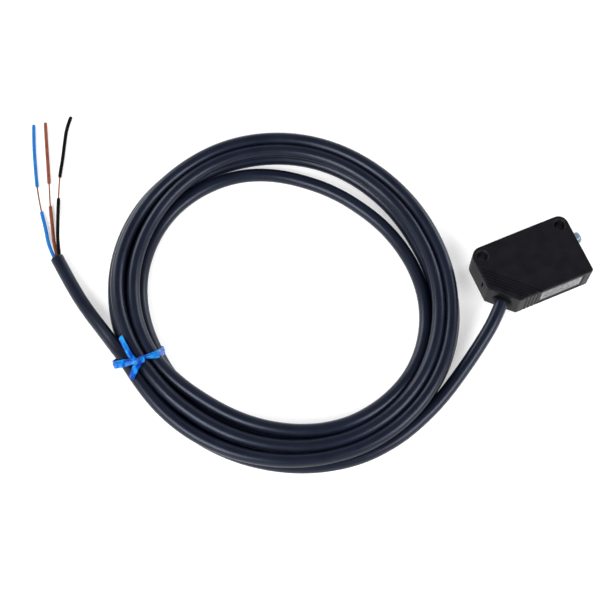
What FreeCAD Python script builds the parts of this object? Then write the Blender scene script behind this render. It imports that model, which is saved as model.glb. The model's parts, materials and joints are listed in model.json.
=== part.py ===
# Miniature photoelectric sensor, diffuse type, with a built-in amplifier and a coiled three-core lead.
# Millimetres.  The sensor lies on its broad face.  The origin is on that face, midway between the two
# mounting holes.  +X runs along the case towards the indicator end, +Y towards the lens face, +Z up.
import FreeCAD, Part
import math
import os

V = FreeCAD.Vector
tiny = 1e-6                     # two coordinates this near are the same

# ------------------------------------------------------------------ driving dimensions
case_length = 31.0              # along X
case_depth = 20.0               # along Y
case_thickness = 10.8           # along Z
front_y = 3.0                   # lens face
rear_y = front_y - case_depth
half_length = case_length / 2
mid_z = case_thickness / 2
front_corner_r = 3.0
rear_corner_r = 0.8
cable_corner_leg = 7.0          # each leg of the 45 degree corner that the cable leaves
edge_r = 0.4                    # rounding of the broad faces' rims
wall = 1.2

hole_pitch = 25.4
hole_r = 1.6                    # clearance for M3
hole_mouth_r = 1.95             # the mouth is a countersink
hole_mouth_depth = 0.3
boss_r = 2.2

cover_inset = 0.6
cover_gap = 0.02

rib_count = 4                   # grooves that run over the broad face and down the rear face
rib_first = 1.7                 # from the cable corner's face to the first groove
rib_pitch = 0.85
rib_width = 0.42
rib_depth_broad = 0.22
rib_depth_rear = 0.55

label_x = (-1.9, 12.9)
label_z = (0.9, 10.1)
label_recess = 0.35
label_t = 0.25
vent_y = -6.9                   # the vent is a short upright slot in the end wall
vent_z = (4.8, 8.0)
vent_r = 0.35

window_x = 10.0                 # half width of the lens window
window_z = (1.7, 9.1)
window_t = 0.7
window_gasket_t = 0.2
window_rim = 0.8
lens_x = 4.8
lens_r = 2.9
lens_bulge = 1.2
lens_back_y = front_y - wall - 0.5 - lens_bulge
holder_x = 9.0
holder_y = (-5.0, front_y - wall)
holder_z = (2.0, 8.8)
pocket_depth = 2.2              # for the optical devices, in the holder's back
device_half = 1.5               # half size of an optical device
chamber_r = 1.3                 # a light chamber at the device; it widens to the lens
shield_half_x, shield_half_z = 2.4, 2.2
shield_t = 0.25

panel_y = (-15.4, -2.2)
panel_z = (2.2, 8.6)
panel_face_x = half_length - 0.3
panel_back_x = 13.6
panel_flange = 0.5
dome_y = -4.15
dome_r = 1.75
dome_tip_x = half_length + 2.9
dome_round = 0.9
adjusters = {"sensitivity": -8.6, "mode": -12.8}     # name: Y of its axis
knob_r = 1.6
knob_clearance = 0.05
tick_angles = (-50, 0, 50)      # of the scale beside each adjuster
knob_face_x = panel_face_x - 0.2
knob_flange_r = 1.9
knob_flange_x = (12.9, 13.5)
shaft_r = 0.8
adjuster_body_x = (10.4, 12.8)
adjuster_body_half = 2.0
seal_r = 2.0
seal_t = 0.5

board_x = (-4.4, adjuster_body_x[0])
board_y = (-15.2, -6.3)
board_z = (3.1, 3.9)
indicator_board_x = (10.3, 10.9)

cable_r = 2.0
cable_clearance = 0.02
core_r = 0.55                   # over the insulation
conductor_r = 0.25
gland_recess_r = 3.2
gland_recess_depth = 1.0
gland_boss_r = 3.9
gland_boss_length = 3.8
gland_bore_r = 2.75
clamp_r = 2.9
clamp_from, clamp_to = 4.1, 6.1  # depths behind the cable corner's face
sheath_end_depth = 7.0
cord_start_depth = 1.9           # the free cable starts this deep in the bushing

coil_centre = V(-71.3, 12.9, 0)
coil_outer = (50.8, 54.2)        # half sizes of the coil's outer outline along X and Y
coil_inner = (38.2, 40.3)
coil_height = 8.0                # two layers of cable
coil_round = 2.5
hump_height = 11.3               # three layers where the tie gathers the turns
hump_reach = 20.0                # the hump fades out this far each side of the tie

tie_y = 10.6
tie_width = 2.1
tie_t = 0.6
tie_x = (-124.2, -109.1)
tie_top = hump_height + tie_t
knot_x = (-118.2, -115.0)
knot_r = 1.2
knot_lift = 0.7                 # of the knot's axis over the band
tie_end_up, tie_end_down = 7.5, 5.5     # lengths of the two free ends

# ------------------------------------------------------------------ directions at the cable corner
half_leg = cable_corner_leg / 2
corner_mid = V(-half_length + half_leg, rear_y + half_leg, mid_z)
outward = V(-1, -1, 0).normalize()          # the way the cable leaves
along_corner = V(-1, 1, 0).normalize()


def inside(depth):
    """A point on the cable's axis, this deep behind the cable corner's face."""
    return corner_mid - outward * depth


# ------------------------------------------------------------------ routes of the free cable and its cores
lead_route = [
    inside(cord_start_depth),
    corner_mid + outward * 5.6,
    V(-22.4, -22.1, 4.2),
    V(-31.3, -27.7, 2.6),
    V(-41.2, -33.3, 2.0),
    V(-51.0, -37.0, 2.0),
    V(-58.4, -38.7, 2.1),
]
tail_route = [
    V(-120.9, 13.6, 6.4),
    V(-122.0, 18.9, 5.6),
    V(-123.3, 25.2, 3.7),
    V(-125.3, 33.3, 2.3),
    V(-126.9, 41.5, 2.0),
    V(-128.2, 52.1, 2.0),
]
core_routes = {
    "blue": [V(-128.9, 52.2, 2.1), V(-129.3, 57.1, 1.3), V(-128.2, 63.4, 0.6), V(-127.4, 70.1, 0.6),
             V(-126.2, 76.7, 0.6), V(-124.2, 84.2, 0.6), V(-122.0, 91.9, 0.6), V(-119.8, 98.2, 0.6)],
    "brown": [V(-128.0, 52.35, 1.35), V(-127.8, 56.5, 0.9), V(-126.1, 63.2, 0.6), V(-124.4, 70.1, 0.6),
              V(-122.3, 76.8, 0.6), V(-120.2, 83.9, 0.6), V(-118.2, 90.8, 0.6), V(-116.2, 97.5, 0.6)],
    "black": [V(-127.4, 52.55, 2.5), V(-126.2, 57.6, 2.2), V(-123.8, 64.5, 1.2), V(-121.1, 71.7, 0.6),
              V(-118.5, 78.0, 0.6), V(-115.6, 83.3, 0.6), V(-112.9, 88.8, 0.6), V(-110.6, 93.3, 0.6),
              V(-108.1, 96.3, 0.6)],
}
# each inner wire: offset across and up in the sheath, and the Y of its pad on the board
inner_wires = {"brown": (0.95, 0.6, -7.0), "black": (0.05, -0.9, -8.6), "blue": (-0.8, 0.55, -10.2)}
bare_y = {"blue": (69.6, 77.6), "brown": (70.3, 77.0), "black": (71.6, 77.9)}   # stripped stretch


# ------------------------------------------------------------------ small building blocks
def box(x, y, z):
    return Part.makeBox(x[1] - x[0], y[1] - y[0], z[1] - z[0], V(x[0], y[0], z[0]))


def rod(start, direction, radius, length):
    return Part.makeCylinder(radius, length, start, direction)


def rod_x(x0, x1, y, z, radius):
    return rod(V(x0, y, z), V(1, 0, 0), radius, x1 - x0)


def rounded_outline(corners):
    """A face in the XY plane from (x, y, corner radius) triples, in order round the outline."""
    edges = []
    count = len(corners)
    joins = []
    for i in range(count):
        before = V(*corners[i - 1][:2], 0)
        here = V(*corners[i][:2], 0)
        after = V(*corners[(i + 1) % count][:2], 0)
        into = (here - before).normalize()
        out = (after - here).normalize()
        half_turn = into.getAngle(out) / 2
        radius = corners[i][2]
        cut = radius * math.tan(half_turn)
        bisector = (out - into).normalize()
        middle = here + bisector * (radius / math.cos(half_turn) - radius)
        joins.append((here - into * cut, middle, here + out * cut))
    for i in range(count):
        start, middle, end = joins[i]
        following = joins[(i + 1) % count][0]
        edges.append(Part.Arc(start, middle, end).toShape())
        edges.append(Part.LineSegment(end, following).toShape())
    return Part.Face(Part.Wire(edges))


def smooth_path(points):
    """Straight runs joined by tangent arcs, each arc as large as its two runs allow."""
    edges = []
    radii = []
    cursor = points[0]
    for before, here, after in zip(points, points[1:], points[2:]):
        into = (here - before).normalize()
        out = (after - here).normalize()
        half_turn = into.getAngle(out) / 2
        cut = 0.45 * min(before.distanceToPoint(here), here.distanceToPoint(after))
        radius = cut / math.tan(half_turn)
        bisector = (out - into).normalize()
        start, end = here - into * cut, here + out * cut
        middle = here + bisector * (radius / math.cos(half_turn) - radius)
        edges.append(Part.LineSegment(cursor, start).toShape())
        edges.append(Part.Arc(start, middle, end).toShape())
        radii.append(radius)
        cursor = end
    edges.append(Part.LineSegment(cursor, points[-1]).toShape())
    return Part.Wire(edges), radii


def tube(name, points, radius):
    """A solid round tube along a smooth path; its volume is checked against section times length."""
    path, radii = smooth_path(points)
    direction = (points[1] - points[0]).normalize()
    profile = Part.Wire([Part.Edge(Part.Circle(points[0], direction, radius))])
    solid = path.makePipeShell([profile], True, False)
    ratio = solid.Volume / (math.pi * radius ** 2 * path.Length)
    print(f"{name}: length {path.Length:.1f}, smallest arc {min(radii):.1f}, volume ratio {ratio:.4f}")
    return solid


def save(name, shape):
    shape.exportStep(f"parts/{name}.step")
    solids = len(shape.Solids)
    box_ = shape.BoundBox
    print(f"{name:28s} solids {solids:2d} valid {shape.isValid()} volume {shape.Volume:9.2f}"
          f" z {box_.ZMin:.2f}..{box_.ZMax:.2f}")


# ------------------------------------------------------------------ the case
def case_outline():
    """Outline of the broad face: large front corners, a 45 degree cable corner, small rear corner."""
    return rounded_outline([
        (half_length, rear_y, rear_corner_r),
        (half_length, front_y, front_corner_r),
        (-half_length, front_y, front_corner_r),
        (-half_length, rear_y + cable_corner_leg, rear_corner_r),
        (-half_length + cable_corner_leg, rear_y, rear_corner_r),
    ])


def slab(inset, z):
    """The case outline drawn in by an inset and extruded between two heights."""
    face = case_outline()
    if inset:
        face = face.makeOffset2D(-inset)
    face.translate(V(0, 0, z[0]))
    return face.extrude(V(0, 0, z[1] - z[0]))


def round_rims(solid, radius):
    """Round every edge that lies in the solid's lowest or highest plane."""
    low, high = solid.BoundBox.ZMin, solid.BoundBox.ZMax
    level = [e for e in solid.Edges if e.BoundBox.ZLength < tiny]
    rims = [e for e in level
            if min(abs(e.BoundBox.ZMin - low), abs(e.BoundBox.ZMin - high)) < tiny]
    return solid.makeFillet(radius, rims)


def hole_axes():
    return [V(side * hole_pitch / 2, 0, 0) for side in (-1, 1)]


def rib_grooves():
    """Slots parallel to the cable corner's face: shallow on the broad face, deep on the rear face."""
    cutters = []
    reach = 40.0
    for i in range(rib_count + 1):
        middle = inside(rib_first + i * rib_pitch)
        middle.z = 0
        start = middle - along_corner * reach / 2 - outward * rib_width / 2
        strip = Part.makeBox(reach, rib_width, case_thickness)
        turn = FreeCAD.Rotation(V(1, 0, 0), along_corner)
        strip.Placement = FreeCAD.Placement(start, turn)
        over_top = box((-half_length + 0.7, half_length), (rear_y - 1, front_y),
                       (case_thickness - rib_depth_broad, case_thickness + 1))
        cutters.append(strip.common(over_top))
        if i < rib_count:
            down_rear = box((-half_length, half_length), (rear_y - 1, rear_y + rib_depth_rear),
                            (-1, case_thickness + 1))
            cutters.append(strip.common(down_rear))
    return cutters


def along_gland(radius, depth_from, depth_to):
    """A cylinder on the cable's axis between two depths behind the cable corner's face."""
    return rod(inside(depth_to), outward, radius, depth_to - depth_from)


def vent_slot():
    """Cutter for a slot through the end wall, with round ends."""
    x = (-half_length - 1, -half_length + wall + 0.5)
    low, high = vent_z[0] + vent_r, vent_z[1] - vent_r
    slot = box(x, (vent_y - vent_r, vent_y + vent_r), (low, high))
    return slot.fuse(rod_x(*x, vent_y, low, vent_r)).fuse(rod_x(*x, vent_y, high, vent_r))


def make_case_body():
    body = round_rims(slab(0, (0, case_thickness)), edge_r)
    cavity = slab(wall, (wall, case_thickness - wall))
    for axis in hole_axes():
        cavity = cavity.cut(rod(axis, V(0, 0, 1), boss_r, case_thickness))
    cavity = cavity.cut(along_gland(gland_boss_r, 0, gland_boss_length))
    body = body.cut(cavity)
    body = body.cut(slab(cover_inset, (-1, wall)))
    for axis in hole_axes():
        body = body.cut(rod(axis - V(0, 0, 1), V(0, 0, 1), hole_r, case_thickness + 2))
        mouth_start = axis + V(0, 0, case_thickness - hole_mouth_depth)
        body = body.cut(Part.makeCone(hole_r, hole_mouth_r, hole_mouth_depth, mouth_start, V(0, 0, 1)))
    # front opening with a seat for the window and its gasket
    seat_y = front_y - window_t - window_gasket_t
    body = body.cut(box((-window_x, window_x), (seat_y, front_y + 1), window_z))
    body = body.cut(box((-window_x + window_rim, window_x - window_rim), (front_y - wall - 0.5, front_y),
                        (window_z[0] + window_rim, window_z[1] - window_rim)))
    # end opening for the panel
    body = body.cut(box((half_length - wall - 0.5, half_length + 1), panel_y, panel_z))
    # rear label window, vent slot, cable entry, ribs
    body = body.cut(box(label_x, (rear_y - 1, rear_y + label_recess), label_z))
    body = body.cut(vent_slot())
    body = body.cut(along_gland(gland_recess_r, -1, gland_recess_depth))
    body = body.cut(along_gland(gland_bore_r, -1, gland_boss_length + 1))
    for cutter in rib_grooves():
        body = body.cut(cutter)
    return body


def make_side_cover():
    cover = slab(cover_inset + cover_gap, (0, wall))
    for axis in hole_axes():
        cover = cover.cut(rod(axis - V(0, 0, 1), V(0, 0, 1), hole_r, wall + 2))
    return cover


# ------------------------------------------------------------------ optics behind the front face
def make_lens_window():
    plate = box((-window_x, window_x), (front_y - window_t, front_y), window_z)
    ball_r = (lens_r ** 2 + lens_bulge ** 2) / (2 * lens_bulge)
    barrel_end = lens_back_y + lens_bulge
    for side in (-1, 1):
        x = side * lens_x
        barrel = rod(V(x, barrel_end, mid_z), V(0, 1, 0), lens_r, front_y - window_t - barrel_end)
        ball = Part.makeSphere(ball_r, V(x, lens_back_y + ball_r, mid_z))
        cap = ball.common(rod(V(x, lens_back_y, mid_z), V(0, 1, 0), lens_r, lens_bulge))
        plate = plate.fuse(barrel).fuse(cap)
    return plate.removeSplitter()


def make_window_gasket():
    y = (front_y - window_t - window_gasket_t, front_y - window_t)
    frame = box((-window_x, window_x), y, window_z)
    opening = box((-window_x + window_rim, window_x - window_rim), (y[0] - 1, y[1] + 1),
                  (window_z[0] + window_rim, window_z[1] - window_rim))
    return frame.cut(opening)


def make_optical_holder():
    """A dark block with one tapered light chamber behind each lens and a pocket for each device."""
    block = box((-holder_x, holder_x), holder_y, holder_z)
    for side in (-1, 1):
        x = side * lens_x
        start_y = holder_y[0] + pocket_depth
        chamber = Part.makeCone(chamber_r, lens_r + 0.1, lens_back_y - 0.2 - start_y,
                                V(x, start_y, mid_z), V(0, 1, 0))
        mouth = rod(V(x, lens_back_y - 0.2, mid_z), V(0, 1, 0), lens_r + 0.1, 5.0)
        half = device_half + 0.1
        pocket = box((x - half, x + half), (holder_y[0] - 1, start_y), (mid_z - half, mid_z + half))
        block = block.cut(chamber).cut(mouth).cut(pocket)
    return block


def make_optical_device(side, window_r):
    """A square package with a moulded lens that looks through its chamber."""
    x = (side * lens_x - device_half, side * lens_x + device_half)
    z = (mid_z - device_half, mid_z + device_half)
    back, face = holder_y[0] + 0.2, holder_y[0] + 1.4
    body = box(x, (back, face), z)
    bead = Part.makeSphere(window_r, V(side * lens_x, face, mid_z))
    keep = box(x, (face, face + window_r + 1), z)
    return body.fuse(bead.common(keep))


def make_receiver_shield():
    x = (lens_x - shield_half_x, lens_x + shield_half_x)
    z = (mid_z - shield_half_z, mid_z + shield_half_z)
    y = (holder_y[0] - 1.0, holder_y[0])
    can = box(x, y, z)
    hollow = box((x[0] + shield_t, x[1] - shield_t), (y[0] + shield_t, y[1] + 1),
                 (z[0] + shield_t, z[1] - shield_t))
    return can.cut(hollow)


# ------------------------------------------------------------------ indicator end
def make_end_panel():
    plate = box((half_length - wall, panel_face_x), panel_y, panel_z)
    flange_z = (panel_z[0] - panel_flange, panel_z[1] + panel_flange)
    flange = box((panel_back_x, half_length - wall), panel_y, flange_z)
    panel = plate.fuse(flange)
    panel = panel.cut(rod_x(panel_back_x - 1, panel_face_x + 1, dome_y, mid_z, dome_r))
    for name, y in adjusters.items():
        panel = panel.cut(rod_x(panel_back_x - 1, panel_face_x + 1, y, mid_z, knob_r + knob_clearance))
        panel = panel.cut(rod_x(panel_back_x - 1, panel_back_x + seal_t, y, mid_z, seal_r))
        for angle in tick_angles:
            panel = panel.fuse(scale_tick(y, angle))
    return panel.removeSplitter()


def scale_tick(y, angle):
    """A raised dash beside an adjuster, this many degrees round its axis from straight up."""
    tick = box((panel_face_x - 0.1, panel_face_x + 0.1), (-0.09, 0.09), (knob_r + 0.35, knob_r + 0.9))
    tick.rotate(V(0, 0, 0), V(1, 0, 0), angle)
    tick.translate(V(0, y, mid_z))
    return tick


def make_indicator_dome():
    stem = rod_x(knob_flange_x[0], dome_tip_x, dome_y, mid_z, dome_r)
    tip = [e for e in stem.Edges
           if abs(e.BoundBox.XMin - dome_tip_x) < tiny and e.BoundBox.XLength < tiny]
    stem = stem.makeFillet(dome_round, tip)
    flange = rod_x(knob_flange_x[0], panel_back_x, dome_y, mid_z, dome_r + 0.12)
    return stem.fuse(flange).removeSplitter()


def make_knob(y):
    head = rod_x(knob_flange_x[1], knob_face_x, y, mid_z, knob_r)
    flange = rod_x(knob_flange_x[0], knob_flange_x[1], y, mid_z, knob_flange_r)
    shaft = rod_x(adjuster_body_x[0] + 0.6, knob_flange_x[0], y, mid_z, shaft_r)
    slot = box((knob_face_x - 0.7, knob_face_x + 1), (y - 0.28, y + 0.28), (mid_z - 1.2, mid_z + 1.2))
    cross = box((knob_face_x - 0.7, knob_face_x + 1), (y - 0.9, y + 0.9), (mid_z - 0.28, mid_z + 0.28))
    return head.fuse(flange).fuse(shaft).cut(slot).cut(cross).removeSplitter()


def make_adjuster_body(y):
    half = adjuster_body_half
    body = box(adjuster_body_x, (y - half, y + half), (mid_z - half, mid_z + half))
    bore_r = shaft_r + knob_clearance
    return body.cut(rod_x(adjuster_body_x[0] + 0.5, adjuster_body_x[1] + 1, y, mid_z, bore_r))


def make_seal_ring(y):
    outer = rod_x(panel_back_x, panel_back_x + seal_t, y, mid_z, seal_r)
    return outer.cut(rod_x(panel_back_x - 1, panel_back_x + 1, y, mid_z, knob_r + knob_clearance))


# ------------------------------------------------------------------ electronics
def on_board(x, y, size_x, size_y, height):
    return box((x - size_x / 2, x + size_x / 2), (y - size_y / 2, y + size_y / 2),
               (board_z[1], board_z[1] + height))


def make_main_board():
    return box(board_x, board_y, board_z)


def make_indicator_board():
    return box(indicator_board_x, (-6.2, -2.8), (3.4, 7.6))


def make_indicator_led(y):
    x = (indicator_board_x[1], indicator_board_x[1] + 0.7)
    return box(x, (y - 0.5, y + 0.5), (mid_z - 0.4, mid_z + 0.4))


def make_amplifier_chip():
    return on_board(2.6, -10.6, 4.2, 4.2, 0.9)


def make_leaded_chip(x, y):
    """A small three-lead package: moulded body and gull-wing feet as one piece."""
    chip = on_board(x, y, 1.4, 2.9, 1.0)
    for foot_y in (y - 0.95, y + 0.95):
        chip = chip.fuse(on_board(x - 0.95, foot_y, 0.6, 0.4, 0.25))
    return chip.fuse(on_board(x + 0.95, y, 0.6, 0.4, 0.25)).removeSplitter()


def make_capacitors():
    places = [(-0.9, -7.6), (0.9, -7.6), (2.7, -7.6), (-3.2, -13.8), (-3.2, -11.9)]
    return Part.makeCompound([on_board(x, y, 1.0, 1.6, 0.8) for x, y in places])


def make_resistors():
    places = [(4.6, -7.5), (5.9, -7.5), (2.8, -14.1), (4.1, -14.1), (5.4, -14.1), (6.7, -14.1)]
    return Part.makeCompound([on_board(x, y, 0.8, 1.5, 0.45) for x, y in places])


# ------------------------------------------------------------------ cable entry and inner wires
def make_bushing():
    flange = along_gland(gland_recess_r - 0.05, 0, gland_recess_depth)
    lip = along_gland(cable_r + 0.55, -0.5, 0)
    sleeve = along_gland(gland_bore_r, gland_recess_depth, gland_boss_length)
    bore = along_gland(cable_r + cable_clearance, -2, gland_boss_length + 1)
    return flange.fuse(lip).fuse(sleeve).cut(bore).removeSplitter()


def make_clamp():
    ring = along_gland(clamp_r, clamp_from, clamp_to)
    return ring.cut(along_gland(cable_r + cable_clearance, clamp_from - 1, clamp_to + 1))


def make_inner_sheath():
    return along_gland(cable_r, cord_start_depth, sheath_end_depth)


def inner_wire(name, sideways, up, pad_y):
    """One core from the end of the sheath to its pad on the board."""
    start = inside(sheath_end_depth) + along_corner * sideways + V(0, 0, up)
    wire_z = board_z[1] + core_r + 0.03
    route = [start, start - outward * 1.3, V(-3.7, pad_y, wire_z), V(-2.4, pad_y - 0.15, wire_z)]
    return tube(name, route, core_r)


# ------------------------------------------------------------------ free cable, coil, tie and cores
def ellipse_prism(half_x, half_y, z):
    ellipse = Part.Ellipse(V(0, 0, 0), max(half_x, half_y), min(half_x, half_y))
    face = Part.Face(Part.Wire([ellipse.toShape()]))
    if half_y > half_x:
        face.rotate(V(0, 0, 0), V(0, 0, 1), 90)
    face.translate(coil_centre + V(0, 0, z[0]))
    return face.extrude(V(0, 0, z[1] - z[0]))


def tie_loop_box(shrink):
    return box((tie_x[0] + shrink, tie_x[1] - shrink), (tie_y - tie_width / 2, tie_y + tie_width / 2),
               (shrink, tie_top - shrink))


def make_hump():
    """The taller stretch of the coil under the tie: a ring sector under a wide arch."""
    rise = hump_height - coil_height
    arch_r = (hump_reach ** 2 + rise ** 2) / (2 * rise)
    arch = rod(V(coil_centre.x - 60, tie_y, hump_height - arch_r), V(1, 0, 0), arch_r, 60)
    margin = 1.5
    ring = ellipse_prism(coil_outer[0] - margin, coil_outer[1] - margin, (coil_height - 3, hump_height))
    ring = ring.cut(ellipse_prism(coil_inner[0] + margin, coil_inner[1] + margin, (0, hump_height + 1)))
    return ring.common(arch)


def make_coil():
    """The outer shape of the wound cable, waisted where the tie holds it."""
    ring = ellipse_prism(*coil_outer, (0, coil_height))
    ring = ring.cut(ellipse_prism(*coil_inner, (-1, coil_height + 1)))
    ring = round_rims(ring, coil_round).fuse(make_hump())
    waist = box((tie_x[0] - 5, tie_x[1] + 5), (tie_y - tie_width / 2, tie_y + tie_width / 2),
                (-1, tie_top + 5))
    return ring.cut(waist.cut(tie_loop_box(tie_t)))


def make_tie():
    """A flat band round the coil, twisted into a knot on top, with two free ends."""
    band = tie_loop_box(0).cut(tie_loop_box(tie_t))
    knot = rod(V(knot_x[0], tie_y, tie_top + knot_lift), V(1, 0, 0), knot_r, knot_x[1] - knot_x[0])
    end_up = box((-120.4, knot_x[0] + 0.1), (tie_y, tie_y + tie_end_up), (tie_top, tie_top + tie_t))
    end_down = box((-122.3, knot_x[0] + 0.1), (tie_y - tie_end_down, tie_y),
                   (tie_top, tie_top + tie_t))
    return band.fuse(knot).fuse(end_up).fuse(end_down).removeSplitter()


def half_space(point, direction):
    """A large block on the side of a plane that the direction points to."""
    size = 200.0
    block = Part.makeBox(size, size, size, V(-size / 2, -size / 2, 0))
    block.Placement = FreeCAD.Placement(point, FreeCAD.Rotation(V(0, 0, 1), direction))
    return block


def cut_plane(route, y):
    """Where a route crosses a given Y, and its direction there."""
    for here, after in zip(route, route[1:]):
        if here.y <= y <= after.y:
            share = (y - here.y) / (after.y - here.y)
            return here + (after - here) * share, (after - here).normalize()
    raise ValueError("the route doesn't cross that Y")


def make_core(colour):
    """A core's bare conductor, and its insulation left at the root and slid out to the tip."""
    route = core_routes[colour]
    conductor = tube(f"core_{colour}_conductor", route, conductor_r)
    insulation = tube(f"core_{colour}_insulation", route, core_r).cut(conductor)
    root_end, root_way = cut_plane(route, bare_y[colour][0])
    tip_start, tip_way = cut_plane(route, bare_y[colour][1])
    root = insulation.cut(half_space(root_end, root_way))
    tip = insulation.common(half_space(tip_start, tip_way))
    return conductor, root, tip


# ------------------------------------------------------------------ everything, one file per piece
def main():
    os.makedirs("parts", exist_ok=True)
    save("case_body", make_case_body())
    save("side_cover", make_side_cover())
    save("rear_label", box(label_x, (rear_y + label_recess - label_t, rear_y + label_recess), label_z))
    save("lens_window", make_lens_window())
    save("window_gasket", make_window_gasket())
    save("optical_holder", make_optical_holder())
    save("emitter_led", make_optical_device(-1, 1.0))
    save("receiver_photodiode", make_optical_device(1, 0.8))
    save("receiver_shield", make_receiver_shield())
    save("end_panel", make_end_panel())
    save("indicator_dome", make_indicator_dome())
    for name, y in adjusters.items():
        save(f"{name}_knob", make_knob(y))
        save(f"{name}_adjuster_body", make_adjuster_body(y))
        save(f"{name}_seal_ring", make_seal_ring(y))
    save("main_board", make_main_board())
    save("indicator_board", make_indicator_board())
    save("indicator_led_green", make_indicator_led(-5.1))
    save("indicator_led_orange", make_indicator_led(-3.7))
    save("amplifier_chip", make_amplifier_chip())
    save("output_transistor", make_leaded_chip(7.6, -10.6))
    save("voltage_regulator", make_leaded_chip(-0.9, -12.2))
    save("capacitors", make_capacitors())
    save("resistors", make_resistors())
    save("cable_bushing", make_bushing())
    save("cable_clamp", make_clamp())
    save("cable_inner_end", make_inner_sheath())
    for colour, (sideways, up, pad_y) in inner_wires.items():
        save(f"inner_wire_{colour}", inner_wire(f"inner_wire_{colour}", sideways, up, pad_y))
    save("cable_lead", tube("cable_lead", lead_route, cable_r))
    save("cable_coil", make_coil())
    save("cable_tail", tube("cable_tail", tail_route, cable_r))
    save("cable_tie", make_tie())
    for colour in core_routes:
        conductor, root, tip = make_core(colour)
        save(f"core_{colour}_conductor", conductor)
        save(f"core_{colour}_insulation_root", root)
        save(f"core_{colour}_insulation_tip", tip)


main()
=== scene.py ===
import json
import math

import bmesh
import bpy
import numpy as np
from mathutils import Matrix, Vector


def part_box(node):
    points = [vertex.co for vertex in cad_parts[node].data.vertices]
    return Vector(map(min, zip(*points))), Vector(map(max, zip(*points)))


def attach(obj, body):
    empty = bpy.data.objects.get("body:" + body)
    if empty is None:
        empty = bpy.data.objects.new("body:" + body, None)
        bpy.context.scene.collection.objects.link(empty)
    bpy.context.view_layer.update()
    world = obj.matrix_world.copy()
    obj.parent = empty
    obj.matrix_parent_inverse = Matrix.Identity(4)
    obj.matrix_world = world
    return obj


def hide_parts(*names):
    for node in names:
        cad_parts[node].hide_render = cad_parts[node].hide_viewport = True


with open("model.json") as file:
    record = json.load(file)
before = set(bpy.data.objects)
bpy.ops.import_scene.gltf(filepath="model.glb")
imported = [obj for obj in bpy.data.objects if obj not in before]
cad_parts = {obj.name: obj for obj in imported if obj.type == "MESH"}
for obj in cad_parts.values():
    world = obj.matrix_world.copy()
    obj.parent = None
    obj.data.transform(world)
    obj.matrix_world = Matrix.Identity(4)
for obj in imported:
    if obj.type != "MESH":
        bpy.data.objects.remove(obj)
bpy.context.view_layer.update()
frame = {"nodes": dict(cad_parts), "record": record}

mm = 0.001
root_body = "sensor"

# ------------------------------------------------------------------ camera
camera_azimuth = math.radians(-23.13)
camera_elevation = math.radians(69.83)
camera_distance = 423.95 * mm
camera_target = Vector((-65.98 * mm, 12.03 * mm, 0))
camera_back = Vector((math.sin(camera_azimuth) * math.cos(camera_elevation),
                      -math.cos(camera_azimuth) * math.cos(camera_elevation),
                      math.sin(camera_elevation)))
camera_data = bpy.data.cameras.new("camera")
camera_data.lens = 85
camera_data.sensor_width = 36
camera_data.clip_start = 0.01
camera_data.clip_end = 20
camera = bpy.data.objects.new("camera", camera_data)
camera.rotation_mode = "QUATERNION"
camera.location = camera_target + camera_back * camera_distance
camera.rotation_quaternion = (-camera_back).to_track_quat("-Z", "Y")
bpy.context.scene.collection.objects.link(camera)
bpy.context.scene.camera = camera


# ------------------------------------------------------------------ node materials
def shader(name):
    """A new material, its node tree and its Principled node."""
    made = bpy.data.materials.new(name)
    made.use_nodes = True
    tree = made.node_tree
    return made, tree, tree.nodes["Principled BSDF"]


def wire(tree, source, output, target, name):
    """Links a node's named output to another node's named input."""
    tree.links.new(source.outputs[output], target.inputs[name])


def object_noise(tree, size_mm, stretch=(1, 1, 1), detail=3.0, rough=0.55):
    """Noise fixed to the object, with features about size_mm across, longer along the stretched axes."""
    coords = tree.nodes.new("ShaderNodeTexCoord")
    scaled = tree.nodes.new("ShaderNodeMapping")
    scaled.inputs["Scale"].default_value = [1 / (size_mm * mm * s) for s in stretch]
    noise = tree.nodes.new("ShaderNodeTexNoise")
    noise.inputs["Scale"].default_value = 1
    noise.inputs["Detail"].default_value = detail
    noise.inputs["Roughness"].default_value = rough
    wire(tree, coords, "Object", scaled, "Vector")
    wire(tree, scaled, "Vector", noise, "Vector")
    return noise


def ranged(tree, source, output, low, high, to_low, to_high):
    """The source's value, stretched from low..high to to_low..to_high."""
    node = tree.nodes.new("ShaderNodeMapRange")
    node.inputs["From Min"].default_value = low
    node.inputs["From Max"].default_value = high
    node.inputs["To Min"].default_value = to_low
    node.inputs["To Max"].default_value = to_high
    wire(tree, source, output, node, "Value")
    return node


def blended(tree, factor, output, colour_a, colour_b):
    """Colour a where the factor is 0 and colour b where it is 1."""
    node = tree.nodes.new("ShaderNodeMix")
    node.data_type = "RGBA"
    tree.links.new(factor.outputs[output], node.inputs[0])
    for slot, colour in ((6, colour_a), (7, colour_b)):
        if isinstance(colour, tuple):
            node.inputs[slot].default_value = (*colour, 1)
        else:
            tree.links.new(colour.outputs[2], node.inputs[slot])
    return node


def coloured(tree, shade, mixed):
    """Gives the shader the colour of a mix node."""
    tree.links.new(mixed.outputs[2], shade.inputs["Base Color"])


def bumped(tree, shade, height, output, strength, depth_mm):
    """Surface relief of this depth from the source's value."""
    bump = tree.nodes.new("ShaderNodeBump")
    bump.inputs["Strength"].default_value = strength
    bump.inputs["Distance"].default_value = depth_mm * mm
    wire(tree, height, output, bump, "Height")
    wire(tree, bump, "Normal", shade, "Normal")


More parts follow.
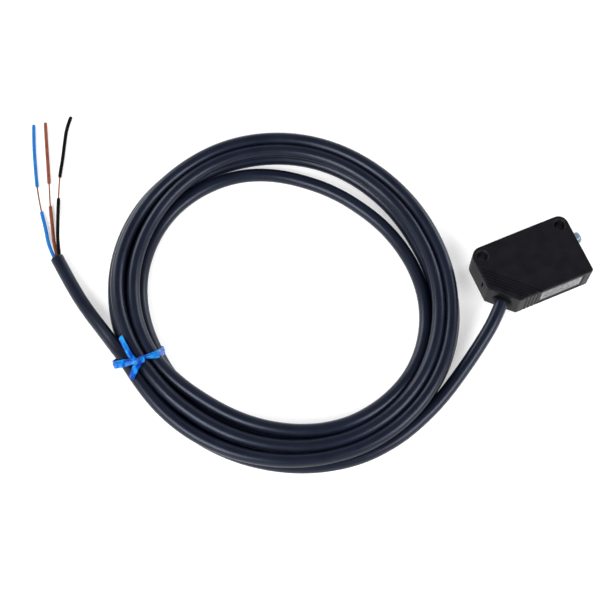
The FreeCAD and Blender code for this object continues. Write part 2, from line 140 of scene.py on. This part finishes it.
def moulded(name, dark, light, roughness, grain_mm, grain_depth_mm, patch_mm=4.0,
            specular=0.5, coat=0.0, stretch=(1, 1, 1)):
    """A moulded or extruded plastic: patchy colour, fine surface grain and uneven gloss."""
    made, tree, shade = shader(name)
    patches = object_noise(tree, patch_mm, stretch)
    grain = object_noise(tree, grain_mm, stretch, detail=2.0)
    spread = ranged(tree, patches, "Fac", 0.3, 0.7, 0, 1)
    colour = blended(tree, spread, "Result", dark, light)
    coloured(tree, shade, colour)
    gloss = ranged(tree, grain, "Fac", 0.3, 0.7, roughness - 0.06, roughness + 0.06)
    wire(tree, gloss, "Result", shade, "Roughness")
    bumped(tree, shade, grain, "Fac", 0.6, grain_depth_mm)
    shade.inputs["Specular IOR Level"].default_value = specular
    shade.inputs["Coat Weight"].default_value = coat
    return made


def clear_plastic(name, tint, deep, roughness, transmission, patch_mm=3.0):
    """A translucent moulding: light passes through it, tinted, with faint flow marks."""
    made, tree, shade = shader(name)
    flow = object_noise(tree, patch_mm)
    spread = ranged(tree, flow, "Fac", 0.3, 0.7, 0, 1)
    colour = blended(tree, spread, "Result", tint, deep)
    coloured(tree, shade, colour)
    gloss = ranged(tree, flow, "Fac", 0.3, 0.7, roughness, roughness + 0.08)
    wire(tree, gloss, "Result", shade, "Roughness")
    bumped(tree, shade, flow, "Fac", 0.2, 0.02)
    shade.inputs["Transmission Weight"].default_value = transmission
    shade.inputs["IOR"].default_value = 1.49
    return made


def metal(name, dark, light, roughness, stretch=(1, 1, 1), grain_mm=0.15):
    """A bare metal with a drawn grain in its colour, gloss and surface."""
    made, tree, shade = shader(name)
    drawn = object_noise(tree, grain_mm, stretch)
    spread = ranged(tree, drawn, "Fac", 0.3, 0.7, 0, 1)
    colour = blended(tree, spread, "Result", dark, light)
    coloured(tree, shade, colour)
    gloss = ranged(tree, drawn, "Fac", 0.3, 0.7, roughness - 0.08, roughness + 0.1)
    wire(tree, gloss, "Result", shade, "Roughness")
    bumped(tree, shade, drawn, "Fac", 0.4, 0.02)
    shade.inputs["Metallic"].default_value = 1
    return made


def sheath_material():
    """Navy-black PVC: faint draw lines along the cable, small scuffs and a dusty bloom."""
    made, tree, shade = shader("pvc_sheath")
    coords = tree.nodes.new("ShaderNodeTexCoord")
    along = tree.nodes.new("ShaderNodeMapping")
    along.inputs["Scale"].default_value = (260, 9, 1)
    wire(tree, coords, "UV", along, "Vector")
    lines = tree.nodes.new("ShaderNodeTexNoise")
    lines.inputs["Scale"].default_value = 1
    lines.inputs["Detail"].default_value = 2
    wire(tree, along, "Vector", lines, "Vector")
    bloom = object_noise(tree, 9.0, detail=4.0)
    scuff = object_noise(tree, 0.5, detail=2.0)
    spread = ranged(tree, bloom, "Fac", 0.35, 0.7, 0, 1)
    colour = blended(tree, spread, "Result", (0.0030, 0.0042, 0.0105), (0.0052, 0.0072, 0.0160))
    coloured(tree, shade, colour)
    gloss = ranged(tree, lines, "Fac", 0.3, 0.7, 0.27, 0.36)
    wire(tree, gloss, "Result", shade, "Roughness")
    joined = tree.nodes.new("ShaderNodeMath")
    joined.operation = "ADD"
    wire(tree, lines, "Fac", joined, 0)
    wire(tree, scuff, "Fac", joined, 1)
    bumped(tree, shade, joined, "Value", 0.35, 0.03)
    shade.inputs["Specular IOR Level"].default_value = 0.26
    shade.inputs["Specular Tint"].default_value = (0.78, 0.86, 1.0, 1)
    return made


def label_material():
    """Grey film in a dark matt border of painted recess shadow; inside it, generic mottling in place of
    any print.
    """
    made, tree, shade = shader("silver_film")
    low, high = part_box("rear_label")
    coords = tree.nodes.new("ShaderNodeTexCoord")
    split = tree.nodes.new("ShaderNodeSeparateXYZ")
    wire(tree, coords, "Object", split, "Vector")
    mottle = object_noise(tree, 0.9, (1.2, 1, 0.6), detail=3.0)
    cloud = object_noise(tree, 2.5, detail=2.0)

    def margin(axis, from_low, from_high):
        """1 within the label's edges less these insets, along one axis, and 0 outside them."""
        first, last = low[axis] + from_low * mm, high[axis] - from_high * mm
        centre = tree.nodes.new("ShaderNodeMath")
        centre.operation = "SUBTRACT"
        wire(tree, split, "XYZ"[axis], centre, 0)
        centre.inputs[1].default_value = (first + last) / 2
        size = tree.nodes.new("ShaderNodeMath")
        size.operation = "ABSOLUTE"
        wire(tree, centre, "Value", size, 0)
        inner = tree.nodes.new("ShaderNodeMath")
        inner.operation = "LESS_THAN"
        wire(tree, size, "Value", inner, 0)
        inner.inputs[1].default_value = (last - first) / 2
        return inner

    def both(a, b):
        node = tree.nodes.new("ShaderNodeMath")
        node.operation = "MULTIPLY"
        wire(tree, a, "Value", node, 0)
        wire(tree, b, "Value", node, 1)
        return node

    inside_shade_border = both(margin(0, 0.9, 0.8), margin(2, 2.1, 1.2))       # inside the border of painted shade for the recess's shadow, widest at the bottom
    worn = both(margin(0, 1.7, 1.7), margin(2, 2.5, 1.6))       # the part with worn print
    print_spread = ranged(tree, mottle, "Fac", 0.46, 0.56, 0, 0.8)
    worn_print = tree.nodes.new("ShaderNodeMath")
    worn_print.operation = "MULTIPLY"
    wire(tree, print_spread, "Result", worn_print, 0)
    wire(tree, worn, "Value", worn_print, 1)
    spread = ranged(tree, cloud, "Fac", 0.3, 0.7, 0, 1)
    film = blended(tree, spread, "Result", (0.145, 0.145, 0.150), (0.20, 0.20, 0.206))
    printed = blended(tree, worn_print, "Value", film, (0.025, 0.025, 0.028))
    # painted shade: the near-black round the film stands in for the shadow in the recess round the label
    shade_bordered = blended(tree, inside_shade_border, "Value", (0.012, 0.012, 0.014), printed)
    coloured(tree, shade, shade_bordered)
    gloss = ranged(tree, cloud, "Fac", 0.3, 0.7, 0.3, 0.42)
    wire(tree, gloss, "Result", shade, "Roughness")
    sheen = ranged(tree, inside_shade_border, "Value", 0, 1, 0.02, 0.10)
    wire(tree, sheen, "Result", shade, "Specular IOR Level")
    bumped(tree, shade, mottle, "Fac", 0.15, 0.01)
    return made


def tie_material():
    """Translucent blue film: deep blue with patches of paler cyan, painted highlight for its cyan
    glints, and a cyan gloss.
    """
    made, tree, shade = shader("tie_film")
    patches = object_noise(tree, 2.4, detail=2.0)
    creases = object_noise(tree, 0.7, detail=2.0)
    spread = ranged(tree, patches, "Fac", 0.42, 0.68, 0, 1)
    # painted highlight: the paler cyan patches stand in for the cyan glints on the film
    colour = blended(tree, spread, "Result", (0.0, 0.030, 0.26), (0.004, 0.20, 0.55))
    coloured(tree, shade, colour)
    gloss = ranged(tree, creases, "Fac", 0.3, 0.7, 0.22, 0.34)
    wire(tree, gloss, "Result", shade, "Roughness")
    bumped(tree, shade, creases, "Fac", 0.4, 0.04)
    shade.inputs["Specular IOR Level"].default_value = 0.4
    shade.inputs["Specular Tint"].default_value = (0.3, 0.85, 1.0, 1)
    return made


materials = {
    "housing": moulded("housing_plastic", (0.0030, 0.0029, 0.0042), (0.0060, 0.0058, 0.0078),
                       0.44, 0.16, 0.02, patch_mm=3.5, specular=0.09),
    "label": label_material(),
    "window": clear_plastic("smoked_window", (0.060, 0.016, 0.020), (0.035, 0.010, 0.014), 0.08, 0.85),
    "dome": clear_plastic("dome_plastic", (0.22, 0.33, 0.43), (0.12, 0.22, 0.32), 0.20, 0.55),
    "dark_insert": moulded("insert_plastic", (0.002, 0.002, 0.0025), (0.004, 0.004, 0.005), 0.5, 0.2,
                           0.02, specular=0.12),
    "knob": moulded("knob_plastic", (0.52, 0.52, 0.50), (0.60, 0.60, 0.57), 0.35, 0.3, 0.01, coat=0.2),
    "selector": moulded("selector_plastic", (0.34, 0.36, 0.38), (0.42, 0.44, 0.46), 0.35, 0.3, 0.01,
                        coat=0.2),
    "seal": moulded("seal_rubber", (0.0012, 0.0012, 0.0016), (0.0028, 0.0028, 0.0034), 0.55, 0.25, 0.02,
                    specular=0.08),
    "board": moulded("solder_mask", (0.006, 0.06, 0.02), (0.012, 0.10, 0.035), 0.3, 0.5, 0.01, coat=0.3),
    "chip": moulded("chip_epoxy", (0.006, 0.006, 0.006), (0.012, 0.012, 0.012), 0.55, 0.1, 0.01),
    "ceramic": moulded("ceramic_body", (0.30, 0.18, 0.09), (0.42, 0.28, 0.15), 0.5, 0.15, 0.01,
                       patch_mm=0.8),
    "shield_metal": metal("tinned_steel", (0.42, 0.42, 0.43), (0.62, 0.62, 0.63), 0.3, (1, 8, 1)),
    "clamp_metal": metal("clamp_brass", (0.48, 0.33, 0.12), (0.66, 0.47, 0.2), 0.32, (1, 1, 6)),
    "led_green": clear_plastic("green_led", (0.10, 0.62, 0.14), (0.06, 0.5, 0.1), 0.1, 0.6, 0.6),
    "led_orange": clear_plastic("orange_led", (0.85, 0.22, 0.02), (0.7, 0.16, 0.02), 0.1, 0.6, 0.6),
    "optic_device": clear_plastic("optic_epoxy", (0.04, 0.04, 0.06), (0.02, 0.02, 0.04), 0.1, 0.3, 0.8),
    "sheath": sheath_material(),
    "core_blue": moulded("blue_pvc", (0.002, 0.085, 0.28), (0.005, 0.12, 0.36), 0.34, 0.25, 0.012,
                         patch_mm=2.5, specular=0.15),
    "core_brown": moulded("brown_pvc", (0.12, 0.028, 0.012), (0.19, 0.052, 0.027), 0.36, 0.25, 0.012,
                          patch_mm=2.0, specular=0.15),
    "core_black": moulded("black_pvc", (0.0004, 0.0004, 0.0005), (0.0010, 0.0010, 0.0012), 0.42, 0.25,
                          0.012, patch_mm=2.5, specular=0.05),
    "copper": metal("stranded_copper", (0.10, 0.036, 0.02), (0.30, 0.13, 0.075), 0.34, grain_mm=0.12),
    "tie": tie_material(),
}
for subpart in frame["record"]["subparts"]:
    node = frame["nodes"][subpart["node"]]
    node.data.materials.clear()
    node.data.materials.append(materials[subpart["material_slot"]])


# ------------------------------------------------------------------ pieces
def placed(piece, slot):
    """Links a piece to the scene, gives it its slot's material and fixes it to the sensor."""
    if piece.name not in bpy.context.scene.objects:
        bpy.context.scene.collection.objects.link(piece)
    piece.data.materials.clear()
    piece.data.materials.append(materials[slot])
    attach(piece, root_body)


def cord_curve(name, points, diameter, sides, along):
    """A round cord on one smooth spline with these control points."""
    data = bpy.data.curves.new(name, "CURVE")
    data.dimensions = "3D"
    spline = data.splines.new("NURBS")
    spline.points.add(len(points) - 1)
    for control, place in zip(spline.points, points):
        control.co = (*place, 1)
        control.radius = diameter / 2
    spline.order_u = 3
    spline.use_endpoint_u = True
    spline.use_smooth = True
    spline.resolution_u = along
    data.bevel_depth = 1                # times each point's radius
    data.bevel_resolution = sides
    data.use_fill_caps = True
    return bpy.data.objects.new(name, data)


def centre_line(curve):
    """Points along a cord's own spline, close together."""
    depth, curve.data.bevel_depth = curve.data.bevel_depth, 0
    line = bpy.data.meshes.new_from_object(curve)
    curve.data.bevel_depth = depth
    places = np.array([v.co for v in line.vertices], float)
    bpy.data.meshes.remove(line)
    return places


# ------------------------------------------------------------------ the cable's sheath
cable_diameter = 4 * mm
cable_r = cable_diameter / 2
lead_route = [
    (-0.01066, -0.01216, 0.0054),
    (-0.01596, -0.01746, 0.0054),
    (-0.0224, -0.0221, 0.0042),
    (-0.0313, -0.0277, 0.0026),
    (-0.0412, -0.0333, 0.0020),
    (-0.0510, -0.0371, 0.0020),
    (-0.0584, -0.0390, 0.0021),
]
tail_route = [
    (-0.1209, 0.0136, 0.0064),
    (-0.1222, 0.0188, 0.0056),
    (-0.1236, 0.0250, 0.0037),
    (-0.1256, 0.0331, 0.0023),
    (-0.1271, 0.0414, 0.0020),
    (-0.1282, 0.0521, 0.0020),
]

# The coil: five turns in two layers round one middle, wound clockwise from the sensor's lead.  Each turn
# has its own lane, because loose turns differ in size: its radius and height every 30 degrees, in mm,
# from the tie round to the tie again.
coil_middle = (-0.0680, 0.0140)
lane_step = 30
lane_radii = [
    [50.4, 53.4, 54.0, 50.9, 48.8, 45.8, 44.9, 48.6, 50.6, 49.1, 47.4, 47.0],
    [46.8, 48.9, 49.4, 46.4, 44.3, 41.4, 40.4, 44.2, 46.9, 45.7, 43.4, 43.2],
    [43.9, 45.8, 45.5, 42.3, 36.4, 34.4, 36.2, 40.3, 43.9, 44.5, 42.2, 41.2],
    [45.6, 47.2, 47.6, 48.0, 45.8, 41.8, 42.0, 43.8, 47.0, 48.2, 47.2, 46.9],
    [49.2, 52.3, 52.0, 50.5, 48.0, 46.1, 44.9, 47.5, 50.4, 51.8, 51.6, 51.8],
]
lane_heights = [
    [2.6, 2.0, 2.0, 2.0, 2.0, 2.0, 2.0, 2.0, 2.0, 2.0, 2.0, 2.0],
    [2.6, 2.0, 2.0, 2.0, 2.0, 2.0, 2.0, 2.0, 2.0, 2.0, 2.0, 2.0],
    [2.6, 2.0, 2.0, 2.0, 2.0, 2.0, 2.0, 2.0, 3.5, 5.6, 5.5, 5.6],
    [6.1, 5.4, 5.4, 5.0, 5.0, 5.5, 5.4, 5.6, 5.6, 5.7, 5.8, 7.5],
    [8.6, 6.0, 5.5, 5.6, 6.4, 5.5, 5.4, 5.6, 5.6, 5.2, 5.4, 5.6],
]
first_part_turn = [(53.6, 2.0), (51.8, 2.0), (50.8, 2.2)]     # from the sensor's lead to the tie
last_lane_end = (52.0, 6.3)
winding_step = 10                       # degrees between neighbouring points of a turn
strand_gap = 3.9                        # PVC strands press into each other a little
spline_cut = 1.004                      # the spline runs inside its control points by this much
tie_lift = 0.6                          # the tie's band passes under the strands
settling_rounds, pushes_per_round = 600, 4
lane_pull, lane_lift = 0.12, 0.03       # share of the way back to its lane, sideways and in height
sag_per_round = 0.02                    # mm that a strand sinks under its weight
bend_share = 0.10                       # how strongly neighbouring points even out
touching = 1e-6                         # mm, the least distance that is divided by


def wind_coil():
    """Centre line of the turns: the strands settle from their lanes under their weight and push each
    other aside where they touch."""
    radii = [r for r, _ in first_part_turn] + sum(lane_radii, []) + [last_lane_end[0]]
    heights = [z for _, z in first_part_turn] + sum(lane_heights, []) + [last_lane_end[1]]
    lane_turned = lane_step * np.arange(len(radii))
    turned = np.arange(0, lane_turned[-1], winding_step, float)
    lane_r = np.interp(turned, lane_turned, radii)
    lane_z = np.interp(turned, lane_turned, heights)
    angle = 270.0 - turned
    at_tie = np.abs((angle % 360) - 180) < 6
    floor = np.where(at_tie, cable_r / mm + tie_lift, cable_r / mm)
    per_turn = 360 // winding_step
    r, z = lane_r.copy(), lane_z.copy()
    for _ in range(settling_rounds):
        r += lane_pull * (lane_r - r)
        z += lane_lift * (lane_z - z) - sag_per_round
        for line in (r, z):
            line[1:-1] += bend_share * (line[:-2] + line[2:] - 2 * line[1:-1])
        for _ in range(pushes_per_round):
            for apart in range(per_turn, len(r), per_turn):
                across, up = r[apart:] - r[:-apart], z[apart:] - z[:-apart]
                gap = np.maximum(np.hypot(across, up), touching)
                push = np.maximum(strand_gap - gap, 0) / 2 / gap
                r[:-apart] -= across * push
                z[:-apart] -= up * push
                r[apart:] += across * push
                z[apart:] += up * push
            z = np.maximum(z, floor)
            r[0], z[0], r[-1], z[-1] = lane_r[0], lane_z[0], lane_r[-1], lane_z[-1]
    r *= spline_cut * mm
    around = np.radians(angle)
    return [(coil_middle[0] + a * math.cos(t), coil_middle[1] + a * math.sin(t), h * mm)
            for a, t, h in zip(r, around, z)]


coil_turns = wind_coil()
sheath = cord_curve("cable_sheath", lead_route + coil_turns + tail_route, cable_diameter, 7, 6)
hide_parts("cable_lead", "cable_coil", "cable_tail")
placed(sheath, "sheath")
sheath_line = centre_line(sheath)


def unit(v):
    return v / np.linalg.norm(v)


def mesh_piece(name, shape, sharp_degrees=35):
    """An object from a closed bmesh, smooth but for its edges sharper than this."""
    bmesh.ops.recalc_face_normals(shape, faces=shape.faces)
    for face in shape.faces:
        face.smooth = True
    data = bpy.data.meshes.new(name)
    shape.to_mesh(data)
    shape.free()
    data.set_sharp_from_angle(angle=math.radians(sharp_degrees))
    return bpy.data.objects.new(name, data)


def joined_rings(rings, closed):
    """A bmesh skin over equal rings of points, its ends capped, or joined to each other if closed."""
    shape = bmesh.new()
    rows = [[shape.verts.new(place) for place in ring] for ring in rings]
    count = len(rows[0])
    for a, b in zip(rows, rows[1:] + (rows[:1] if closed else [])):
        for k in range(count):
            shape.faces.new((a[k], a[(k + 1) % count], b[(k + 1) % count], b[k]))
    if not closed:
        shape.faces.new(list(reversed(rows[0])))
        shape.faces.new(rows[-1])
    return shape


def turned_ring(name, centre, axis, profile, sides=40):
    """A closed ring: this profile of (along the axis, radius), in mm, turned about the axis."""
    axis = unit(np.array(axis, float))
    side = unit(np.cross(axis, (0, 0, 1)))
    up = np.cross(side, axis)
    rings = [[np.array(centre) + along * mm * axis
              + r * mm * (math.cos(t) * side + math.sin(t) * up) for along, r in profile]
             for t in np.linspace(0, 2 * math.pi, sides, endpoint=False)]
    return mesh_piece(name, joined_rings(rings, closed=True))


# ------------------------------------------------------------------ the stripped cores
conductor_diameter = 0.5 * mm
core_r = 0.55                           # mm
cut_shrink, shrink_reach = 0.12, 0.15   # mm, how much and how far in a cut end draws in
close_steps, sleeve_step = 0.4 * mm, 0.4 * mm
core_routes = {
    "blue": [(-0.1289, 0.0522, 0.0021), (-0.1293, 0.0571, 0.0013), (-0.1282, 0.0634, 0.0006),
             (-0.1274, 0.0701, 0.0006), (-0.1262, 0.0767, 0.0006), (-0.1242, 0.0842, 0.0006),
             (-0.1220, 0.0919, 0.0006), (-0.1198, 0.0982, 0.0006)],
    "brown": [(-0.1280, 0.05235, 0.00135), (-0.1278, 0.0565, 0.0009), (-0.1261, 0.0632, 0.0006),
              (-0.1244, 0.0701, 0.0006), (-0.1223, 0.0768, 0.0006), (-0.1202, 0.0839, 0.0006),
              (-0.1182, 0.0908, 0.0006), (-0.1162, 0.0975, 0.0006)],
    "black": [(-0.1274, 0.05255, 0.0025), (-0.1262, 0.0576, 0.0022), (-0.1238, 0.0645, 0.0012),
              (-0.1211, 0.0717, 0.0006), (-0.1185, 0.0780, 0.0006), (-0.1156, 0.0833, 0.0006),
              (-0.1129, 0.0888, 0.0006), (-0.1106, 0.0933, 0.0006), (-0.1081, 0.0963, 0.0006)],
}
bare_between = {"blue": (0.0696, 0.0776), "brown": (0.0703, 0.0770), "black": (0.0716, 0.0779)}


def insulation(name, places, sides=20):
    """A sleeve of insulation on these points of the core's line, its cut ends slightly shrunk."""
    travel = np.concatenate([[0], np.cumsum(np.linalg.norm(np.diff(places, axis=0), axis=1))])
    from_end = np.minimum(travel, travel[-1] - travel) / mm
    rings = []
    across = None
    for k, place in enumerate(places):
        along = unit(places[min(k + 1, len(places) - 1)] - places[max(k - 1, 0)])
        across = np.array((0, 0, 1.0)) if across is None else across
        across = unit(across - along * across.dot(along))
        other = np.cross(along, across)
        r = (core_r - cut_shrink * math.exp(-from_end[k] / shrink_reach)) * mm
        rings.append([place + r * (math.cos(t) * across + math.sin(t) * other)
                      for t in np.linspace(0, 2 * math.pi, sides, endpoint=False)])
    return mesh_piece(name, joined_rings(rings, closed=False), 50)


def stretch_of(line, first_y, last_y):
    """The part of a core's line between two places along Y, with close points at its ends."""
    inner = line[(line[:, 1] > first_y) & (line[:, 1] < last_y)]
    step = np.concatenate([[0], np.cumsum(np.linalg.norm(np.diff(inner, axis=0), axis=1))])
    wanted = np.unique(np.concatenate([
        np.linspace(0, close_steps, 5),
        np.arange(0.8 * mm, step[-1] - close_steps, sleeve_step),
        step[-1] - np.linspace(0, close_steps, 5)]))
    return np.stack([np.interp(wanted, step, inner[:, k]) for k in range(3)], axis=1)


for colour, route in core_routes.items():
    strand = cord_curve(f"{colour}_conductor", route, conductor_diameter, 4, 16)
    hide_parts(f"core_{colour}_conductor")
    placed(strand, "copper")
    strand_line = centre_line(strand)
    bare_from, bare_to = bare_between[colour]
    for part, first_y, last_y in (("root", -1, bare_from), ("tip", bare_to, 1)):
        sleeve = insulation(f"{colour}_core_{part}", stretch_of(strand_line, first_y, last_y))
        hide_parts(f"core_{colour}_insulation_{part}")
        placed(sleeve, f"core_{colour}")

# the sheath's cut end: a rim of PVC standing round the cores
end_axis = sheath_line[-1] - sheath_line[-4]
sheath_end = turned_ring("sheath_cut_end", sheath_line[-1], end_axis, [
    (-0.3, 1.85), (-0.02, 1.985), (0.3, 1.985), (0.45, 1.9), (0.5, 1.7), (0.42, 1.5), (-0.3, 1.42)])
placed(sheath_end, "sheath")

# ------------------------------------------------------------------ the twist tie round the coil
# A flat blue film with a wire in its middle.  It leans, goes once round the six strands, is twisted on
# itself on top of them, and its two ends lie on the strands.
tie_lean = (-0.1463, -0.5087)           # the band's shift along Y, for X and for Z
tie_mark = np.array((-0.1166, 0.0097, 0.0102))
tie_clear = 0.22 * mm                   # from a strand's surface to the middle of the film
tie_slack = 1.5 * mm                    # how far the band stands off the outer side of the coil
tie_film, tie_rib = 0.34 * mm, 0.16 * mm
curl_r, curl_width = 0.9 * mm, 0.7 * mm
curl_start, curl_sweep = 60, 440        # degrees
curl_rise, curl_fall = 0.9 * mm, 0.15 * mm
cross_reach, cross_rise, cross_sweep = 1.3 * mm, 0.45 * mm, 150
knot_lift = 0.55 * mm                   # from the band's top to the knot
ribbon_step = 0.22 * mm
smoothing_rounds, smoothing_share = 4, 0.35
strands_middle = np.array([-0.1160, 0, 0.0047])     # the film's outer side faces away from here
band_width, end_width, twist_width = 2.2 * mm, 1.5 * mm, 1.2 * mm


def band_y(x, z):
    return tie_mark[1] + tie_lean[0] * (x - tie_mark[0]) + tie_lean[1] * (z - tie_mark[2])


def strands_at_tie():
    """Where the sheath's line goes through the band's plane: X and Z."""
    off = sheath_line[:, 1] - band_y(sheath_line[:, 0], sheath_line[:, 2])
    found = []
    for k in np.flatnonzero(off[:-1] * off[1:] <= 0):
        if sheath_line[k, 0] < -0.1:
            share = off[k] / (off[k] - off[k + 1])
            place = sheath_line[k] + share * (sheath_line[k + 1] - sheath_line[k])
            found.append(place[[0, 2]])
    return np.array(found)


def evenly(places, step):
    """The same line with points this far apart."""
    places = np.array(places, float)
    travel = np.concatenate([[0], np.cumsum(np.linalg.norm(np.diff(places, axis=0), axis=1))])
    wanted = np.linspace(0, travel[-1], max(int(travel[-1] / step), 2))
    return np.stack([np.interp(wanted, travel, places[:, k]) for k in range(places.shape[1])], axis=1)


def band_loop():
    """The band's middle line round the strands, from the knot over the inner side and back to it."""
    strands = strands_at_tie()
    places = []
    for degrees in range(90, -271, -5):
        t = math.radians(degrees)
        out = np.array((math.cos(t), math.sin(t)))
        touched = strands[np.argmax(strands @ out)]
        slack = tie_slack * max(0, math.cos(t - math.radians(170))) ** 2
        x, z = touched + out * (cable_r + tie_clear + slack)
        places.append((x, band_y(x, z), z))
    return places


def tie_ribbon():
    """The whole tie as one ribbon: its upper end, the twist, the band, the twist and its lower end."""
    loop = band_loop()
    top = loop[0][2] + knot_lift
    knot_x, knot_y = tie_mark[0], tie_mark[1]
    turns = np.linspace(0, 1, 25)

    def curled():
        """The half from the inner side makes one small curl, rising as it goes, and dives under."""
        for s in turns:
            t = math.radians(curl_start + curl_sweep * s)
            yield (knot_x + curl_r * math.cos(t), knot_y - 0.1 * mm + curl_r * math.sin(t),
                   top + curl_rise * math.sin(math.pi * s) - curl_fall * s)

    def crossed():
        """The other half passes through that curl and turns back under it."""
        for s in turns:
            t = math.radians(cross_sweep * s)
            yield (knot_x - 0.9 * mm + cross_reach * math.sin(t), knot_y - 0.5 * mm * s * s,
                   top + 0.15 * mm + cross_rise * math.sin(math.pi * s))

    upper = [(-0.1186, 0.0106, top), (-0.1190, 0.0124, top - 0.2 * mm),
             (-0.1193, 0.0148, top - 0.3 * mm), (-0.1195, 0.0172, top - 0.6 * mm),
             (-0.1196, 0.0189, top - 0.9 * mm)]
    lower = [(-0.1184, 0.0087, top), (-0.1195, 0.0077, top - 0.5 * mm),
             (-0.1205, 0.0068, top - 1.0 * mm), (-0.1212, 0.0061, top - 1.5 * mm)]
    first, second = list(curled()), list(crossed())
    # the loop's points right under the knot are left out, where the two twisted parts take over
    band = [p for p in loop if p[0] > knot_x + 1.4 * mm or p[2] < 6 * mm or p[0] < knot_x - 3.0 * mm]
    line = list(reversed(upper)) + list(reversed(first)) + band + second + lower
    widths = ([end_width] * len(upper) + [curl_width] * len(first)
              + [band_width] * len(band)
              + [twist_width] * len(second) + [end_width * 1.4] * len(lower))
    rows = evenly(np.column_stack([line, widths]), ribbon_step)
    for _ in range(smoothing_rounds):
        rows[1:-1] += smoothing_share * (rows[:-2] + rows[2:] - 2 * rows[1:-1])
    rings = []
    for k, row in enumerate(rows):
        place, width = row[:3], row[3]
        along = unit(rows[min(k + 1, len(rows) - 1), :3] - rows[max(k - 1, 0), :3])
        out = place - strands_middle
        out[1] = 0
        out = unit(out - along * out.dot(along))
        across = np.cross(along, out)
        half, film = width / 2, tie_film / 2
        rings.append([place + across * half * a + out * (film * b + tie_rib * c) for a, b, c in (
            (-1, -1, 0), (-1, 1, 0), (-0.4, 1, 0), (-0.24, 1, 0.7), (0, 1, 1), (0.24, 1, 0.7),
            (0.4, 1, 0), (1, 1, 0), (1, -1, 0), (0.3, -1, 0), (0, -1, -0.4), (-0.3, -1, 0))])
    return mesh_piece("twist_tie", joined_rings(rings, closed=False), 50)


tie = tie_ribbon()
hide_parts("cable_tie")
placed(tie, "tie")

# ------------------------------------------------------------------ floor and light
floor_size = 40.0
floor_drop = 0.00005                    # just under the object, so that no faces coincide
floor_glow = 0.45                       # a light table
floor_mesh = bmesh.new()
bmesh.ops.create_grid(floor_mesh, x_segments=8, y_segments=8, size=floor_size / 2)
floor_data = bpy.data.meshes.new("floor")
floor_mesh.to_mesh(floor_data)
floor_mesh.free()
floor = bpy.data.objects.new("floor", floor_data)
floor.location = (camera_target.x, camera_target.y, -floor_drop)
bpy.context.scene.collection.objects.link(floor)
floor_material, floor_tree, floor_shade = shader("pale_floor")
floor_patches = object_noise(floor_tree, 300, detail=2)
floor_colour = blended(floor_tree, floor_patches, "Fac", (0.60, 0.60, 0.60), (0.62, 0.62, 0.62))
coloured(floor_tree, floor_shade, floor_colour)
floor_shade.inputs["Roughness"].default_value = 0.8
floor_shade.inputs["Specular IOR Level"].default_value = 0.1
floor_shade.inputs["Emission Color"].default_value = (1, 1, 1, 1)
floor_shade.inputs["Emission Strength"].default_value = floor_glow
floor_data.materials.append(floor_material)

world = bpy.data.worlds.new("studio")
world.use_nodes = True
bpy.context.scene.world = world
backdrop = world.node_tree.nodes["Background"]
sky = world.node_tree.nodes.new("ShaderNodeTexCoord")
sky_split = world.node_tree.nodes.new("ShaderNodeSeparateXYZ")
wire(world.node_tree, sky, "Generated", sky_split, "Vector")
sky_level = ranged(world.node_tree, sky_split, "Z", 0.05, 0.8, 1.3, 0.2)
wire(world.node_tree, sky_level, "Result", backdrop, "Strength")
backdrop.inputs["Color"].default_value = (1, 1, 1, 1)


def soft_light(name, place, size, power):
    """A square soft box aimed at the middle of the object."""
    data = bpy.data.lights.new(name, "AREA")
    data.shape = "RECTANGLE"
    data.size, data.size_y = size
    data.energy = power
    lamp = bpy.data.objects.new(name, data)
    lamp.location = place
    aim = camera_target - lamp.location
    lamp.rotation_mode = "QUATERNION"
    lamp.rotation_quaternion = aim.to_track_quat("-Z", "Y")
    bpy.context.scene.collection.objects.link(lamp)


light_size, light_distance = 0.55, 1.0
for name, azimuth, elevation, power in (("key_light", -70, 38, 11), ("fill_light", 35, 38, 9),
                                        ("left_light", -150, 22, 5), ("right_light", 105, 22, 5)):
    around, lift = math.radians(azimuth), math.radians(elevation)
    soft_light(name, light_distance * Vector((math.sin(around) * math.cos(lift),
                                              -math.cos(around) * math.cos(lift), math.sin(lift))),
               (light_size, light_size), power)

scene = bpy.context.scene
scene.view_settings.view_transform = "Standard"
scene.view_settings.look = "None"
